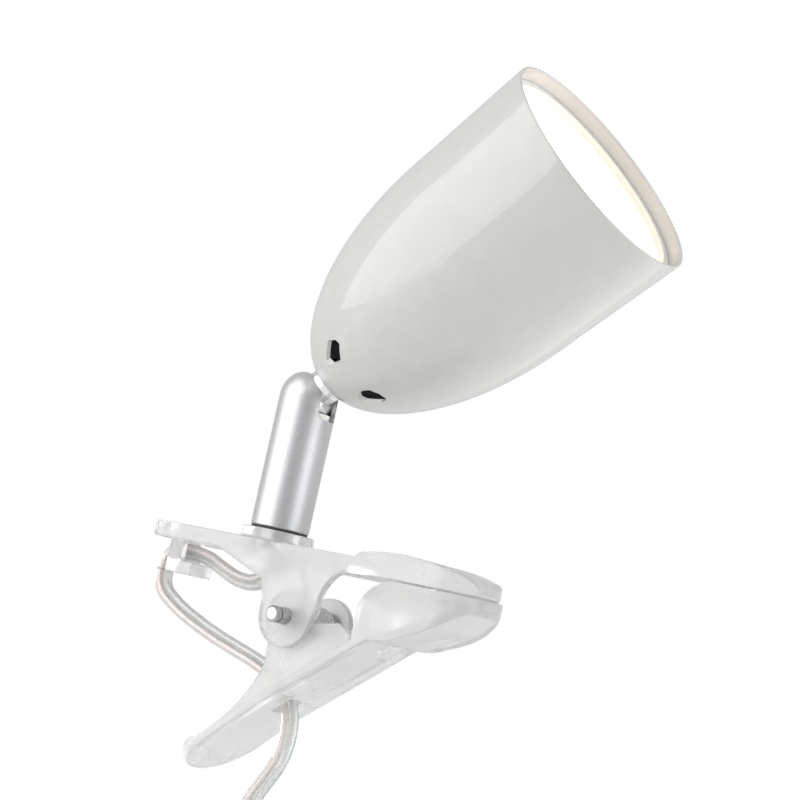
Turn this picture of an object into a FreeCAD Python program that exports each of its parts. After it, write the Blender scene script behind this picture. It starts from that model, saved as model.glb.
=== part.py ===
import FreeCAD, Part

import math
import os

import Sketcher

os.makedirs("parts", exist_ok=True)
V = FreeCAD.Vector
doc = FreeCAD.newDocument("ClipLamp")

# ---------------------------------------------------------------- driving dimensions (mm, degrees)
# Heights are counted from the foot of the arm tube, X runs towards the jaws, Y across the clip.
DIMENSIONS = {
    "grip_x": 62.0, "grip_z": -8.6,
    "tube_radius": 9.0, "tube_wall": 1.4, "pivot_height": 40.7,
    "slot_width": 9.0, "slot_bottom": 35.0, "slot_back": 5.2,
    "ball_radius": 7.5, "neck_radius": 5.6, "neck_flats": 8.8, "collar_low": 7.1, "stud_radius": 3.0,
    "wire_bore": 1.7, "nose_hole": 3.1,
    "shade_radius": 35.3, "mouth_radius": 36.75, "shade_length": 117.4, "shade_belt": 79.0,
    "shade_depth": 71.0, "shade_wall": 1.0, "vent_pairs": 3, "vent_low": 19.4, "vent_high": 24.1,
    "vent_half": 2.9,
    "head_tilt": 46.2,
    "clip_half": 14.5, "skin": 2.3, "plate_top": -4.0, "plate_under": -9.3, "boss_radius": 11.1,
    "boss_top": -0.8, "pin_x": 18.8, "pin_z": -25.4, "pin_radius": 2.45, "lobe_radius": 9.3,
    "leg_thick": 3.3, "wall_half": 10.9, "wall_thick": 2.5, "lug_radius": 8.3,
    "floor_slope": 37.5, "handle_slope": 42.0, "lug_bore": 2.5, "cord_d": 4.2, "nipple_radius": 5.0,
    "nipple_bore": 3.4, "nut_flats": 14.0, "coil_radius": 30.0, "bundle_radius": 8.0,
}
sheet = doc.addObject("Spreadsheet::Sheet", "Sizes")
for row, (alias, value) in enumerate(DIMENSIONS.items(), start=1):
    sheet.set(f"A{row}", alias)
    sheet.set(f"B{row}", str(value))
    sheet.setAlias(f"B{row}", alias)
doc.recompute()


def size(alias):
    return float(getattr(sheet, alias))


grip_x, grip_z = size("grip_x"), size("grip_z")
pivot_z = size("pivot_height")
pin_x, pin_z = size("pin_x"), size("pin_z")
clip_half, wall_half, wall_thick = size("clip_half"), size("wall_half"), size("wall_thick")
FRAME = FreeCAD.Placement(V(-grip_x, 0, -grip_z), FreeCAD.Rotation())
HEAD = FreeCAD.Placement(V(-grip_x, 0, pivot_z - grip_z),
                         FreeCAD.Rotation(V(0, 1, 0), size("head_tilt")))
subparts = []


# ---------------------------------------------------------------- helpers
def new_body(label, place=FRAME):
    body = doc.addObject("PartDesign::Body", label)
    body.Label = label
    body.Placement = place
    subparts.append(body)
    return body


def new_sketch(body, role, name, offset=None):
    """A sketch on one of the body's own origin planes, shifted or turned by offset."""
    sketch = body.newObject("Sketcher::SketchObject", name)
    plane = next(o for o in body.Origin.OriginFeatures if o.Role == role)
    sketch.AttachmentSupport = (plane, [""])
    sketch.MapMode = "FlatFace"
    if offset is not None:
        sketch.AttachmentOffset = offset
    return sketch


def outline(sketch, path):
    """Closed outline: a start point, then (x, y) for a line or (xm, ym, x, y) for an arc through xm, ym."""
    start = path[0]
    here = start
    first = sketch.GeometryCount
    for step in [*path[1:], start]:
        a, b = V(here[0], here[1], 0), V(step[-2], step[-1], 0)
        if a.distanceToPoint(b) < 1e-6:
            continue
        if len(step) == 2:
            sketch.addGeometry(Part.LineSegment(a, b), False)
        else:
            sketch.addGeometry(Part.Arc(a, V(step[0], step[1], 0), b), False)
        here = (step[-2], step[-1])
    return first


def circle(sketch, x, y, radius_alias):
    index = sketch.addGeometry(Part.Circle(V(x, y, 0), V(0, 0, 1), size(radius_alias)), False)
    constraint = sketch.addConstraint(Sketcher.Constraint("Radius", index, size(radius_alias)))
    sketch.setExpression(f"Constraints[{constraint}]", f"Sizes.{radius_alias}")
    return index


def feature(body, kind, name, sketch, **values):
    made = body.newObject(f"PartDesign::{kind}", name)
    made.Profile = sketch
    for key, value in values.items():
        if isinstance(value, str) and value.startswith("="):
            made.setExpression(key, value[1:])
        else:
            setattr(made, key, value)
    sketch.Visibility = False
    return made


def slab(body, name, path, width):
    """Side outline in XZ, padded to both sides of Y = 0."""
    sketch = new_sketch(body, "XZ_Plane", name + "_outline")
    outline(sketch, path)
    return feature(body, "Pad", name, sketch, Midplane=True, Length=width)


def side_cut(body, name, path, width):
    sketch = new_sketch(body, "XZ_Plane", name + "_outline")
    outline(sketch, path)
    return feature(body, "Pocket", name, sketch, Midplane=True, Length=width)


def turned(label, path, place=FRAME):
    """A body turned about Z from a closed outline of (radius, height) points."""
    body = new_body(label, place)
    sketch = new_sketch(body, "XZ_Plane", label + "_section")
    outline(sketch, path)
    feature(body, "Revolution", label + "_turned", sketch, ReferenceAxis=(sketch, ["V_Axis"]), Angle=360)
    return body


def ring_path(inner, outer, low, high):
    return [(inner, low), (outer, low), (outer, high), (inner, high)]


def solid_feature(label, shape, place=FRAME):
    """A subpart whose shape comes straight from Part's functions."""
    item = doc.addObject("Part::Feature", label)
    item.Label = label
    own = shape.Placement
    item.Shape = shape
    item.Placement = place.multiply(own)
    subparts.append(item)
    return item


def hexagon(flats, inner, low, high):
    corner = flats / math.sqrt(3)
    points = [V(corner * math.cos(math.radians(60 * i)), corner * math.sin(math.radians(60 * i)), low)
              for i in range(7)]
    prism = Part.Face(Part.makePolygon(points)).extrude(V(0, 0, high - low))
    return prism.cut(Part.makeCylinder(inner, high - low + 2, V(0, 0, low - 1)))


def rounded_route(points):
    """Straight runs joined by arcs of 0.45 of the shorter run over the tangent of half the turn."""
    points = [V(*p) for p in points]
    edges, here, radii, length = [], points[0], [], 0.0
    for before, corner, after in zip(points, points[1:], points[2:]):
        back, ahead = before - corner, after - corner
        run = min(back.Length, ahead.Length)
        back.normalize()
        ahead.normalize()
        turn = math.pi - back.getAngle(ahead)
        cut = 0.45 * run
        radius = cut / math.tan(turn / 2)
        enter, leave = corner + back * cut, corner + ahead * cut
        middle = (back + ahead).normalize()
        centre = corner + middle * (radius / math.cos(turn / 2))
        edges.append(Part.LineSegment(here, enter).toShape())
        edges.append(Part.Arc(enter, centre - middle * radius, leave).toShape())
        radii.append(round(radius, 1))
        here = leave
    edges.append(Part.LineSegment(here, points[-1]).toShape())
    return Part.Wire(edges), radii


def tube_along(label, points, diameter):
    wire, radii = rounded_route(points)
    start, ahead = V(*points[0]), V(*points[1]) - V(*points[0])
    ring = Part.Wire(Part.makeCircle(diameter / 2, start, ahead))
    tube = wire.makePipeShell([ring], True, False)
    filled = tube.Volume / (math.pi * diameter ** 2 / 4 * wire.Length)
    print(f"{label}: length {wire.Length:.1f}, radii {radii}, volume {filled:.4f} of section x length")
    return solid_feature(label, tube)


def wound_wire(radius, wire_radius, pitch, turns, leg_in, leg_out):
    """A coil spring about Z whose two straight legs run on from its first and its last turn."""
    helix = Part.makeHelix(pitch, pitch * turns, radius)
    edges = list(helix.Edges)
    climb = pitch / (2 * math.pi)
    start, end_turn = V(radius, 0, 0), 2 * math.pi * turns
    first_way = V(0, radius, climb).normalize()
    last_way = V(-radius * math.sin(end_turn), radius * math.cos(end_turn), climb).normalize()
    if leg_in:
        foot = start - first_way * leg_in
        edges.insert(0, Part.LineSegment(foot, start).toShape())
        start = foot
    if leg_out:
        end = V(radius * math.cos(end_turn), radius * math.sin(end_turn), pitch * turns)
        edges.append(Part.LineSegment(end, end + last_way * leg_out).toShape())
    ring = Part.Wire(Part.makeCircle(wire_radius, start, first_way))
    return Part.Wire(edges).makePipeShell([ring], True, False)


# ---------------------------------------------------------------- shade
belt, depth, wall = size("shade_belt"), size("shade_depth"), size("shade_wall")
belt_r, mouth_r, mouth_z = size("shade_radius"), size("mouth_radius"), size("shade_length")


def nose_arc(inset, radius):
    """Quarter of the bullet nose's ellipse, from a small radius at the nose out to the belt."""
    major, minor = depth - inset, belt_r - inset
    ellipse = Part.Ellipse(V(0, belt, 0), major, minor)
    ellipse.XAxis = V(0, -1, 0)
    angle = math.asin(radius / minor)
    return Part.ArcOfEllipse(ellipse, angle, math.pi / 2), V(radius, belt - major * math.cos(angle), 0)


shade = new_body("shade_shell", HEAD)
section = new_sketch(shade, "XZ_Plane", "shade_section")
outer_arc, outer_nose = nose_arc(0.0, size("nose_hole"))
inner_arc, inner_nose = nose_arc(wall, size("nose_hole"))
section.addGeometry(outer_arc, False)
section.addGeometry(inner_arc, False)
lip = 0.7
loop = [V(belt_r, belt, 0), V(mouth_r, mouth_z - lip, 0), V(mouth_r - 0.2, mouth_z, 0),
        V(mouth_r - wall - 0.3, mouth_z, 0), V(mouth_r - wall, mouth_z - lip, 0), V(belt_r - wall, belt, 0)]
for a, b in zip(loop, loop[1:]):
    section.addGeometry(Part.LineSegment(a, b), False)
section.addGeometry(Part.LineSegment(outer_nose, inner_nose), False)
feature(shade, "Revolution", "shade_spun", section, ReferenceAxis=(section, ["V_Axis"]), Angle=360)
# Cooling slots round the nose: one pair is drawn and repeated round the axis.
vent = new_sketch(shade, "XY_Plane", "vent_outline")
low_r, high_r, half = size("vent_low"), size("vent_high"), size("vent_half")
chamfer = 0.9
corners = [(low_r, half - chamfer), (low_r + chamfer, half), (high_r - chamfer, half), (high_r, half - chamfer)]
corners += [(r, -w) for r, w in reversed(corners)]
for turn in (-77.0, -30.0):
    along = V(math.cos(math.radians(turn)), math.sin(math.radians(turn)), 0)
    across = V(-along.y, along.x, 0)
    points = [along * r + across * w for r, w in corners]
    outline(vent, [(p.x, p.y) for p in points])
cut = feature(shade, "Pocket", "vent", vent, Length=30, Reversed=True)
doc.recompute()
pattern = shade.newObject("PartDesign::PolarPattern", "vents")
pattern.Originals = [cut]
pattern.Axis = (section, ["V_Axis"])
pattern.Angle = 360
pattern.setExpression("Occurrences", "Sizes.vent_pairs")
shade.Tip = pattern

# ---------------------------------------------------------------- light source inside the shade
turned("diffuser_lens", [(0, 108.8), (35.2, 108.8), (35.2, 110.6), (26, 111.1), (0, 111.6)], HEAD)
turned("diffuser_ring", [(33.2, 111.0), (33.6, 110.7), (35.45, 110.7), (35.5, 112.8), (33.2, 112.8)], HEAD)
turned("reflector_cup", [(15.0, 85.0), (16.0, 85.0), (34.6, 107.6), (34.6, 108.7), (33.6, 108.7), (15.0, 86.2)],
       HEAD)
turned("led_board", ring_path(0.0, 16.5, 82.0, 83.6), HEAD)
chips = [Part.makeBox(3, 3, 0.8, V(r * math.cos(t) - 1.5, r * math.sin(t) - 1.5, 83.6))
         for r, t in [(0, 0)] + [(9.0, math.radians(60 * i)) for i in range(6)]]
solid_feature("led_chips", Part.makeCompound(chips), HEAD)
sink = turned("heat_sink", [(0, 63.0), (33.3, 63.0), (33.3, 66.0), (19, 67.0), (19, 79.0), (17, 82.0), (0, 82.0)],
              HEAD)
fin_gap = new_sketch(sink, "XY_Plane", "fin_gap_outline", FreeCAD.Placement(V(0, 0, 68.5), FreeCAD.Rotation()))
outline(fin_gap, [(11.5, -1.1), (25, -1.1), (25, 1.1), (11.5, 1.1)])
gap = feature(sink, "Pocket", "fin_gap", fin_gap, Length=9.5, Reversed=True)
doc.recompute()
fins = sink.newObject("PartDesign::PolarPattern", "fin_gaps")
fins.Originals = [gap]
fins.Axis = (fin_gap, ["N_Axis"])
fins.Angle = 360
fins.Occurrences = 16
sink.Tip = fins
turned("driver_housing", [(0, 33.0), (17.5, 33.0), (19.0, 35.0), (19.0, 63.0), (17.2, 63.0), (17.2, 35.0),
                          (1.8, 35.0), (1.8, 36.8), (0, 36.8)], HEAD)
driver = Part.makeBox(26, 18, 1.6, V(-13, -9, 40))
for x, y, r, high in [(-7, 0, 4.5, 12), (5, 4, 3.2, 9), (6, -4.5, 2.6, 7)]:
    driver = driver.fuse(Part.makeCylinder(r, high, V(x, y, 41.6)))
solid_feature("driver_board", driver.removeSplitter(), HEAD)

# ---------------------------------------------------------------- swivel between shade and arm
ball_r, neck_r, flats = size("ball_radius"), size("neck_radius"), size("neck_flats")
collar_low, stud_r, bore = size("collar_low"), size("stud_radius"), size("wire_bore")
nose_z = belt - depth
seat_z = belt - depth * math.sqrt(1 - (neck_r / belt_r) ** 2)
ball = Part.makeSphere(ball_r)
ball = ball.cut(Part.makeBox(40, 40, 20, V(-20, -20, 4.6)))
shank = Part.makeCylinder(neck_r, collar_low - 1.5, V(0, 0, 1.5))
shank = shank.common(Part.makeBox(40, flats, 40, V(-20, -flats / 2, -5)))
stud = Part.makeCylinder(stud_r, 15.8 - collar_low, V(0, 0, collar_low))
knuckle = ball.fuse([shank, stud])
knuckle = knuckle.cut(Part.makeCylinder(bore, 40, V(0, 0, -2)))
# The lead comes up the tube into a fan-shaped slot, so the head can lean without pinching it.
fan = Part.makeCylinder(ball_r + 1, 2 * bore, V(0, -bore, 0), V(0, 1, 0))
fan = fan.cut(Part.makeBox(40, 40, 40, V(-20, -20, 0)))
knuckle = knuckle.cut(fan).removeSplitter()
solid_feature("swivel_ball", knuckle, HEAD)
# The collar's underside is hollowed to pass over the tube's dome on both sides of the slot.
hollow_r = size("tube_radius") + 0.06
hollow = [(r, math.sqrt(hollow_r ** 2 - r ** 2)) for r in (flats / 2 + 0.05, 5.05, neck_r)]
turned("swivel_collar", [(stud_r, collar_low), (flats / 2, collar_low), hollow[0], (*hollow[1], *hollow[2]),
                         (neck_r, seat_z - 0.02), (4.3, nose_z + 0.5), (stud_r, nose_z + 0.23)], HEAD)
inner_seat = belt - (depth - wall) * math.sqrt(1 - (5.9 / (belt_r - wall)) ** 2)
solid_feature("shade_nut", hexagon(10.2, stud_r, inner_seat + 0.05, 13.8), HEAD)
pair = [Part.makeCylinder(0.75, 32.0, V(0, side, 1.0)) for side in (-0.9, 0.9)]
solid_feature("head_wires", Part.makeCompound(pair), HEAD)

# ---------------------------------------------------------------- arm tube
tube_r, tube_wall = size("tube_radius"), size("tube_wall")
slot_half = size("slot_width") / 2
inner_r = tube_r - tube_wall
eighth = math.sqrt(0.5)
tube = turned("arm_tube", [(inner_r, 0), (tube_r - 0.3, 0), (tube_r, 0.3), (tube_r, pivot_z),
                           (tube_r * eighth, pivot_z + tube_r * eighth, 0, pivot_z + tube_r),
                           (0, pivot_z + inner_r),
                           (inner_r * eighth, pivot_z + inner_r * eighth, inner_r, pivot_z)])
slot = new_sketch(tube, "YZ_Plane", "slot_outline")
low = size("slot_bottom")
outline(slot, [(-slot_half, 60), (-slot_half, low + 1.5), (-slot_half + 0.44, low + 0.44, -slot_half + 1.5, low),
               (slot_half - 1.5, low), (slot_half - 0.44, low + 0.44, slot_half, low + 1.5), (slot_half, 60)])
feature(tube, "Pocket", "slot_front", slot, Length=20, Reversed=True)
back = new_sketch(tube, "XY_Plane", "slot_back_outline", FreeCAD.Placement(V(0, 0, 60), FreeCAD.Rotation()))
reach = size("slot_back")
outline(back, [(1, -slot_half), (1, slot_half), (-reach + 2, slot_half), (-reach, slot_half - 2),
               (-reach, -slot_half + 2), (-reach + 2, -slot_half)])
feature(tube, "Pocket", "slot_top", back, Length=60 - pivot_z - 3.0)
turned("ball_seat", [(4.2, pivot_z - 10.5), (7.5, pivot_z - 10.5), (7.5, pivot_z - 3.8), (6.56, pivot_z - 3.8),
                     (5.6, pivot_z - 5.1, 4.2, pivot_z - 6.28)])
seat_wire, seat_turns, seat_pitch = 0.6, 4, 3.4
seat_low = pivot_z - 10.5
spring_low = seat_low - seat_turns * seat_pitch - 2 * seat_wire - 0.1
seat_spring = wound_wire(6.2, seat_wire, seat_pitch, seat_turns, 0, 0)
seat_spring.translate(V(0, 0, spring_low + seat_wire + 0.05))
solid_feature("seat_spring", seat_spring)
turned("spring_plate", ring_path(4.0, inner_r - 0.02, spring_low - 1.2, spring_low))
turned("arm_bush", [(5.05, 0.6), (7.6, 0.6), (7.6, 8.0), (5.05, 8.0)])
turned("nipple_tube", ring_path(size("nipple_bore"), size("nipple_radius"), -13.2, 11.8))
solid_feature("top_nut", hexagon(12.8, 5.0, 8.05, 11.5))
turned("swivel_washer", ring_path(5.05, 8.7, -0.8, -0.02))
solid_feature("clip_nut", hexagon(size("nut_flats"), 5.0, -12.2, -8.0))

# ---------------------------------------------------------------- upper clip half
skin, plate_top, plate_under = size("skin"), size("plate_top"), size("plate_under")
lobe = size("lobe_radius")
upper = new_body("upper_jaw")
slab(upper, "plate", [(-40.5, -4.6), (38.5, plate_top), (39.8, -2.7, 41.8, -2.1), (59, -0.9, 72.0, -2.9),
                      (77.1, -4.9, 79.0, -7.9), (78.7, -8.55), (52, -8.55), (40, plate_under),
                      (-40.5, plate_under)],
     2 * clip_half)
side_cut(upper, "hollow", [(-38.1, -6.9), (36.5, -6.3), (36.5, -12), (-38.1, -12)], 2 * (clip_half - 2.4))
leg = new_sketch(upper, "XZ_Plane", "leg_outline", FreeCAD.Placement(V(0, 0, clip_half), FreeCAD.Rotation()))
outline(leg, [(-12.8, -8.5), (7.6, -16.0), (pin_x - lobe - 0.4, -21.0),
              (pin_x - lobe, pin_z), (pin_x, pin_z - lobe, pin_x + lobe, pin_z), (pin_x + lobe + 1.4, -21.0),
              (31.6, -12.6, 38.0, -8.5)])
feature(upper, "Pad", "leg", leg, Reversed=True, Length="=Sizes.leg_thick")
plan = new_sketch(upper, "XY_Plane", "plan_trim", FreeCAD.Placement(V(0, 0, 10), FreeCAD.Rotation()))
outline(plan, [(-60, -30), (100, -30), (100, 30), (-60, 30)])
outline(plan, [(-34.5, -clip_half), (65, -clip_half), (75.3, -10.3, 79.0, 0), (75.3, 10.3, 65, clip_half),
               (-34.5, clip_half), (-39.2, 10.0, -40.5, 0), (-39.2, -10.0, -34.5, -clip_half)])
feature(upper, "Pocket", "rounded_ends", plan, Length=24)
boss = new_sketch(upper, "XY_Plane", "boss_outline", FreeCAD.Placement(V(0, 0, -8.0), FreeCAD.Rotation()))
circle(boss, 0, 0, "boss_radius")
feature(upper, "Pad", "boss", boss, Length=8.0 + size("boss_top"))
hole = new_sketch(upper, "XY_Plane", "nipple_hole_outline")
circle(hole, 0, 0, "nipple_radius")
feature(upper, "Pocket", "nipple_hole", hole, Length=20)
# Cord hook: a hanging block with a foot, and a way through it for the cord.
slab(upper, "hook_block", [(-35.8, -6.0), (-30.6, -6.0), (-30.6, -15.4), (-25.6, -15.4), (-25.6, -19.4),
                           (-35.2, -19.4), (-35.8, -18.8)], 11.0)
side_cut(upper, "hook_way", [(-45, -9.6), (-20, -9.6), (-20, -15.2), (-45, -15.2)], 5.6)
pin_hole = new_sketch(upper, "XZ_Plane", "pin_hole_outline")
circle(pin_hole, pin_x, pin_z, "pin_radius")
feature(upper, "Pocket", "pin_hole", pin_hole, Midplane=True, Length=60)

# ---------------------------------------------------------------- lower clip half
slope = math.radians(size("floor_slope"))
up_x, up_z = math.cos(slope), math.sin(slope)


def on_floor(distance, rise):
    """A point measured along the lever floor's outer face from its jaw end, and square to it."""
    return (48.7 - distance * up_x - rise * up_z, -27.3 - distance * up_z + rise * up_x)


def past_bend(distance, rise):
    """The same on the handle, which turns down a little past the cord slot."""
    x, z = on_floor(floor_run, 0)
    bend = math.radians(size("handle_slope"))
    run_x, run_z = math.cos(bend), math.sin(bend)
    return (x - distance * run_x - rise * run_z, z - distance * run_z + rise * run_x)


floor_run, handle_run = 45.6, 31.5
lower = new_body("lower_jaw")
slab(lower, "floor", [past_bend(handle_run, 0), on_floor(floor_run, 0), (48.7, -27.3), (54.5, -26.6, 60.0, -24.6),
                      (69.5, -20.0, 76.5, -14.6), (79.4, -11.9, 80.3, -8.7), (55.5, -8.75),
                      (47.0, -11.9, 43.4, -17.5), (43.4, -27.6), on_floor(3.5, 2.6), on_floor(floor_run, 2.6),
                      past_bend(handle_run - 3.0, 2.6), (*past_bend(handle_run - 0.9, 1.7), *past_bend(handle_run, 0))],
     2 * clip_half)
lug = size("lug_radius")
slab(lower, "walls", [past_bend(handle_run - 3, 1.2), on_floor(floor_run, 1.2), (41.0, -31.2), (41.0, -26.8),
                      (36.0, -24.0), (pin_x + lug, pin_z - 0.4), (pin_x, pin_z + lug, pin_x - lug, pin_z),
                      (12.6, -34.0), (12.6, -41.0), (8.6, -50.0, 2.6, -58.0), (-1.0, -62.4, -5.4, -66.2),
                      past_bend(handle_run - 9, 5.0), (*past_bend(handle_run - 5.0, 4.1), *past_bend(handle_run - 3, 1.2))],
     2 * wall_half)
side_cut(lower, "channel", [past_bend(handle_run - 6, 2.6), on_floor(floor_run, 2.6), on_floor(0.9, 2.6), (47.4, -18.0),
                            (40, -12), (0, -12), (-30, -50)], 2 * (wall_half - wall_thick))
side_cut(lower, "paddle_hollow", [(46.4, -25.7), (46.4, -17.0), (48.6, -13.2, 56, -11.2), (75.4, -11.2), (67.8, -17.8),
                                  (59.0, -22.2), (54.0, -24.1), (48.9, -24.8)],
         2 * (clip_half - 2.5))
handle_tilt = FreeCAD.Rotation(V(0, 1, 0), -size("handle_slope"))
bend_x, bend_z = on_floor(floor_run, 0)
handle_place = FreeCAD.Placement(V(bend_x, 0, bend_z) + handle_tilt.multVec(V(0, 0, 12)), handle_tilt)
handle = new_sketch(lower, "XY_Plane", "handle_trim", handle_place)
round_x = clip_half - handle_run
outline(handle, [(round_x, -clip_half - 6), (-60, -clip_half - 6), (-60, clip_half + 6), (round_x, clip_half + 6),
                 (round_x, clip_half), (-handle_run, 0, round_x, -clip_half)])
feature(lower, "Pocket", "rounded_handle", handle, Length=22)
nose_plan = new_sketch(lower, "XY_Plane", "jaw_trim")
outline(nose_plan, [(66, -30), (100, -30), (100, 30), (66, 30), (66, clip_half), (76.6, 10.3, 80.3, 0),
                    (76.6, -10.3, 66, -clip_half)])
feature(lower, "Pocket", "rounded_jaw", nose_plan, Length=40)
floor_tilt = FreeCAD.Rotation(V(0, 1, 0), -size("floor_slope"))
slot_x, slot_z = on_floor(40.0, 0)
exit_slot = new_sketch(lower, "XY_Plane", "cord_slot",
                       FreeCAD.Placement(V(slot_x, 0, slot_z) + floor_tilt.multVec(V(0, 0, 6)), floor_tilt))
outline(exit_slot, [(-3.6, -3.4), (3.6, -3.4), (3.6, 3.4), (-3.6, 3.4)])
feature(lower, "Pocket", "cord_way", exit_slot, Length=12)
lug_hole = new_sketch(lower, "XZ_Plane", "lug_hole_outline")
circle(lug_hole, pin_x, pin_z, "lug_bore")
feature(lower, "Pocket", "lug_hole", lug_hole, Midplane=True, Length=2 * wall_half + 2)

# ---------------------------------------------------------------- hinge pin and clamp spring
pin_r = size("pin_radius")
pin_place = FreeCAD.Placement(V(pin_x - grip_x, 0, pin_z - grip_z), FreeCAD.Rotation(V(1, 0, 0), 90))
turned("hinge_pin", [(0, -12.7), (3.6, -12.7), (4.0, -12.3), (4.0, -10.95), (pin_r, -10.95), (pin_r, 18.2),
                     (2.15, 18.2), (2.15, 19.0), (pin_r, 19.0), (pin_r, 20.3), (pin_r - 0.6, 20.9), (0, 20.9)],
       pin_place)
wind_r, wire_r, pitch = 4.1, 0.8, 1.9
first_leg, last_leg = -14.5, 25.2
spring_turns = 5 + (last_leg - first_leg) / 360
spring = wound_wire(wind_r, wire_r, pitch, spring_turns, 21.4, 17.6)
spring_high = pitch * spring_turns
spring.rotate(V(0, 0, 0), V(0, 0, 1), first_leg)
solid_feature("clamp_spring", spring, FreeCAD.Placement(V(pin_x - grip_x, spring_high / 2, pin_z - grip_z),
                                                        FreeCAD.Rotation(V(1, 0, 0), 90)))

# ---------------------------------------------------------------- mains lead
# Clear flat twin lead, modelled as a round tube of its mean section.
cord_d = size("cord_d")
lead_top = pivot_z - 8.6
lead = Part.makeCylinder(cord_d / 2, lead_top + 12.0, V(0, 0, -12.0))
for side in (-0.9, 0.9):
    lead = lead.fuse(Part.makeCylinder(0.75, pivot_z - 3.0 - lead_top, V(0, side, lead_top)))
solid_feature("arm_lead", lead)
HOOK_ROUTE = [(0, 0, -12.0), (-1.3, 0, -15.6), (-5.6, 0, -17.8), (-11.2, 0, -17.5), (-17.0, 0, -15.6),
              (-22.6, 0, -13.2), (-28.7, 0, -12.2), (-34.4, 0, -12.4), (-39.2, 0, -14.2), (-39.5, 0, -19.2)]
LOOP_ROUTE = [(-39.5, 0, -19.2), (-39.8, 0, -24.2), (-32.6, 0, -29.0), (-25.2, 0, -32.2), (-17.2, 0, -35.1),
              (-8.2, 0, -37.7), (1.0, 0, -40.0), (9.3, 0, -43.0), (14.0, 0, -47.3)]
DROP_ROUTE = [(14.0, 0, -47.3), (18.0, 0, -50.95), (19.6, 0, -57.2), (19.6, 0, -63.5), (18.0, 0, -69.6),
              (14.8, 0, -75.2), (11.5, 0, -81.4), (9.1, 0, -89.0), (8.0, 0, -97.5), (7.9, 0, -106.0)]
tube_along("cord_hook", HOOK_ROUTE, cord_d)
tube_along("cord_loop", LOOP_ROUTE, cord_d)
tube_along("cord_drop", DROP_ROUTE, cord_d)

# ---------------------------------------------------------------- inline switch
# Two shells screwed together on the lead, with a rocker in the front one.
switch_x, switch_top, switch_len, switch_wide, switch_deep = 7.9, -106.0, 62.0, 26.0, 9.5
switch_low = switch_top - switch_len
switch_mid = (switch_top + switch_low) / 2
rocker_len, rocker_wide = 20.0, 11.0


def switch_shell(label, side):
    """Half shell from Y = 0 towards the given side, with a cord saddle at each end."""
    deep = switch_deep * side
    outer = Part.makeBox(switch_wide, switch_deep, switch_len,
                         V(switch_x - switch_wide / 2, min(0, deep), switch_low))
    ends = [e for e in outer.Edges if abs(e.Curve.Direction.y) > 0.9]
    outer = outer.makeFillet(7.0, ends)
    far = [f for f in outer.Faces if abs(f.CenterOfMass.y - deep) < 1e-3][0]
    outer = outer.makeFillet(2.2, far.Edges)
    room = Part.makeBox(switch_wide - 3.6, switch_deep - 1.8, switch_len - 16,
                        V(switch_x - switch_wide / 2 + 1.8, min(0, deep - 1.8 * side), switch_low + 8))
    outer = outer.cut(room)
    outer = outer.cut(Part.makeCylinder(cord_d / 2, 80, V(switch_x, 0, switch_low - 5)))
    screws = [V(switch_x + s * 8.6, 0, switch_mid + t * 26.4) for s, t in ((1, 1), (-1, -1))]
    for at in screws:
        outer = outer.cut(Part.makeCylinder(1.3, 30, at - V(0, 15, 0), V(0, 1, 0)))
    return outer, screws


front, screw_spots = switch_shell("switch_front", -1)
front = front.cut(Part.makeBox(rocker_wide + 0.6, 12, rocker_len + 0.6,
                               V(switch_x - rocker_wide / 2 - 0.3, -14, switch_mid - rocker_len / 2 - 0.3)))
back_shell, screw_spots = switch_shell("switch_back", 1)
for at in screw_spots:
    front = front.cut(Part.makeCylinder(2.5, 5, at + V(0, -switch_deep + 1.6, 0), V(0, -1, 0)))
solid_feature("switch_front", front)
solid_feature("switch_back", back_shell)
heads = [Part.makeCylinder(2.4, 1.5, at + V(0, -switch_deep + 1.6, 0), V(0, -1, 0)).fuse(
    Part.makeCylinder(1.3, 13.0, at + V(0, -switch_deep + 1.6, 0), V(0, 1, 0))) for at in screw_spots]
for i, at in enumerate(screw_spots):
    heads[i] = heads[i].cut(Part.makeBox(6, 0.8, 0.7, at + V(-3, -switch_deep - 0.2, -0.35)))
solid_feature("switch_screws", Part.makeCompound(heads))
rocker_outline = [(-9.5, -2.4), (-9.5, 1.6), (0.0, 0.7), (9.5, 1.6), (9.5, -2.4), (2.4, -5.4), (-2.4, -5.4)]
rocker_points = [V(switch_x - rocker_wide / 2, -switch_deep - out, switch_mid + up) for up, out in rocker_outline]
rocker = Part.Face(Part.makePolygon([*rocker_points, rocker_points[0]])).extrude(V(rocker_wide, 0, 0))
rocker_pivot = V(switch_x, -switch_deep + 3.2, switch_mid)
rocker.rotate(rocker_pivot, V(1, 0, 0), 7.0)
solid_feature("switch_rocker", rocker)
contacts = Part.makeBox(8, 0.8, 12, V(switch_x - 4, -1.6, switch_mid - 20))
contacts = contacts.fuse(Part.makeBox(8, 0.8, 12, V(switch_x - 4, -1.6, switch_mid + 8)))
solid_feature("switch_contacts", contacts)

# ---------------------------------------------------------------- coil of spare lead, tie and plug
coil_r, bundle_r = size("coil_radius"), size("bundle_radius")
coil_x, coil_z = switch_x - coil_r, switch_low - 34.0
meet = math.sqrt((coil_r + bundle_r) ** 2 - coil_r ** 2)
solid_feature("cord_coil", Part.makeTorus(coil_r, bundle_r, V(coil_x, 0, coil_z), V(0, 1, 0)))
solid_feature("cord_link", Part.makeCylinder(cord_d / 2, switch_low - coil_z - meet, V(switch_x, 0, coil_z + meet)))
tie = Part.makeTorus(bundle_r + 1.0, 1.0, V(coil_x, 0, coil_z + coil_r), V(1, 0, 0))
solid_feature("cable_tie", tie)
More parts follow.
